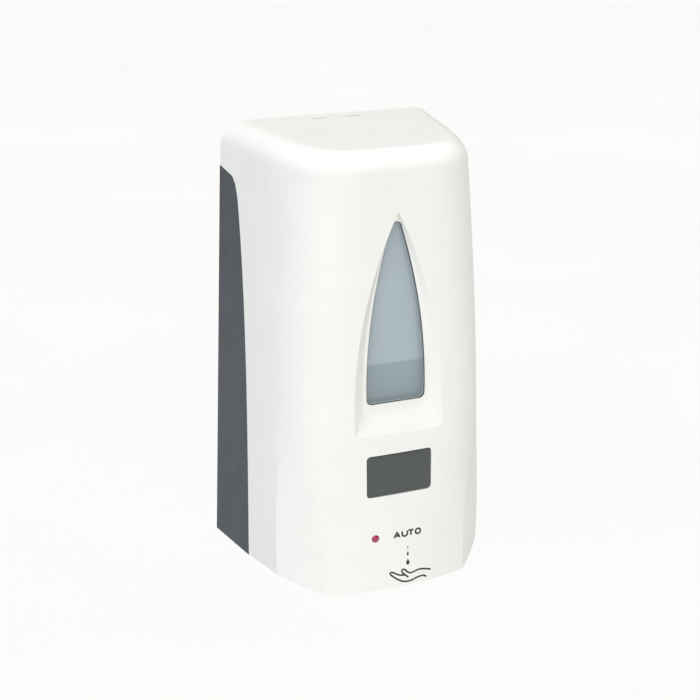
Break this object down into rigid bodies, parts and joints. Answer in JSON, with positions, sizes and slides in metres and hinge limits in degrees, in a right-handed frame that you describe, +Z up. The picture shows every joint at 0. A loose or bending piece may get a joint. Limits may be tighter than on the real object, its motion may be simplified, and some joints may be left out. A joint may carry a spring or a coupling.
{
  "type": "wall mounted soap dispenser",
  "caption": "Automatic wall soap dispenser: dark wall housing, hinged white cover with a pointed window, refill tank and battery-driven roller pump.",
  "frame": {"origin": "middle of the flat back face that lies on the wall", "axes": "+X to the viewer's right, +Y into the wall, +Z up"},
  "size_m": [0.163, 0.116, 0.2726],
  "materials": {
    "white_plastic": "satin",
    "dark_plastic": "satin",
    "smoked_plastic": "gloss",
    "grey_plastic": "matte",
    "clear_plastic": "gloss",
    "tank_plastic": "satin",
    "soap": "gloss",
    "red_lens": "gloss",
    "steel": "satin",
    "brass": "satin",
    "acetal": "satin",
    "rubber": "matte",
    "silicone": "satin",
    "board_green": "satin",
    "cell_jacket": "satin"
  },
  "bodies": {
    "back_unit": {"back_housing": "dark_plastic", "battery_bay": "grey_plastic", "battery_cell_1": "cell_jacket", "battery_cell_2": "cell_jacket", "battery_cell_3": "cell_jacket", "battery_cell_4": "cell_jacket", "board_screw_1": "steel", "board_screw_2": "steel", "chassis": "grey_plastic", "chassis_screw_1": "steel", "chassis_screw_2": "steel", "chassis_screw_3": "steel", "chassis_screw_4": "steel", "control_board": "board_green", "door_pin": "steel", "gearbox_case": "grey_plastic", "gearbox_plate": "steel", "gearbox_screw_1": "steel", "gearbox_screw_2": "steel", "hinge_pin_left": "steel", "hinge_pin_right": "steel", "idler_axle": "steel", "ir_emitter": "smoked_plastic", "ir_receiver": "smoked_plastic", "latch_spring": "steel", "lid_hinge_pin": "steel", "motor_can": "steel", "outlet_nozzle": "dark_plastic", "pump_housing": "grey_plastic", "pump_tube": "silicone", "reservoir": "tank_plastic", "reservoir_valve": "acetal", "seal_ring": "rubber", "sensor_window": "smoked_plastic", "soap_fill": "soap", "status_lamp": "red_lens", "switch_body": "dark_plastic", "upper_contact_left": "brass", "upper_contact_right": "brass"},
    "cover": {"front_cover": "white_plastic", "window_lens": "clear_plastic", "front_panel": "smoked_plastic", "led_lens": "red_lens"},
    "latch": {"latch_slider": "grey_plastic"},
    "lid": {"reservoir_lid": "white_plastic", "lid_seal": "rubber"},
    "battery_door": {"battery_door": "dark_plastic", "lower_contact": "brass"},
    "power_switch": {"switch_knob": "grey_plastic"},
    "drive_pinion": {"motor_pinion": "brass"},
    "idler": {"idler_gear": "acetal"},
    "rotor": {"pump_rotor": "acetal", "rotor_plate": "acetal", "roller_pin_1": "steel", "roller_pin_2": "steel", "roller_pin_3": "steel"},
    "roller_a": {"roller_1": "acetal"},
    "roller_b": {"roller_2": "acetal"},
    "roller_c": {"roller_3": "acetal"}
  },
  "joints": [
    {"name": "cover_hinge", "type": "hinge", "parent": "back_unit", "child": "cover", "pos_m": [0, -0.03, -0.131], "axis": [1, 0, 0], "range_deg": [0, 100]},
    {"name": "latch_slide", "type": "slide", "parent": "back_unit", "child": "latch", "axis": [0, 0, -1], "range_m": [0, 0.0035], "stiffness_N_per_m": 300, "springref_m": -0.004, "deforming": ["latch_spring"]},
    {"name": "lid_hinge", "type": "hinge", "parent": "back_unit", "child": "lid", "pos_m": [0, -0.038, 0.0762], "axis": [-1, 0, 0], "range_deg": [0, 85]},
    {"name": "battery_door_hinge", "type": "hinge", "parent": "back_unit", "child": "battery_door", "pos_m": [0, -0.0095, -0.1328], "axis": [1, 0, 0], "range_deg": [0, 95]},
    {"name": "power_slide", "type": "slide", "parent": "back_unit", "child": "power_switch", "axis": [1, 0, 0], "range_m": [0, 0.003]},
    {"name": "rotor_spin", "type": "hinge", "parent": "back_unit", "child": "rotor", "pos_m": [0.014, -0.076, -0.097], "axis": [0, 1, 0], "continuous": true},
    {"name": "idler_spin", "type": "hinge", "parent": "back_unit", "child": "idler", "pos_m": [-0.00501, -0.055, -0.09967], "axis": [0, 1, 0], "continuous": true},
    {"name": "motor_spin", "type": "hinge", "parent": "back_unit", "child": "drive_pinion", "pos_m": [-0.0208, -0.058, -0.10542], "axis": [0, 1, 0], "continuous": true},
    {"name": "roller_a_spin", "type": "hinge", "parent": "rotor", "child": "roller_a", "pos_m": [0.014, -0.076, -0.088], "axis": [0, 1, 0], "continuous": true},
    {"name": "roller_b_spin", "type": "hinge", "parent": "rotor", "child": "roller_b", "pos_m": [0.00621, -0.076, -0.1015], "axis": [0, 1, 0], "continuous": true},
    {"name": "roller_c_spin", "type": "hinge", "parent": "rotor", "child": "roller_c", "pos_m": [0.02179, -0.076, -0.1015], "axis": [0, 1, 0], "continuous": true}
  ],
  "couplings": [
    {"joint": "idler_spin", "follows": "rotor_spin", "ratio": -3},
    {"joint": "motor_spin", "follows": "rotor_spin", "ratio": 9.6},
    {"joint": "roller_a_spin", "follows": "rotor_spin", "ratio": -3.3},
    {"joint": "roller_b_spin", "follows": "rotor_spin", "ratio": -3.3},
    {"joint": "roller_c_spin", "follows": "rotor_spin", "ratio": -3.3}
  ]
}
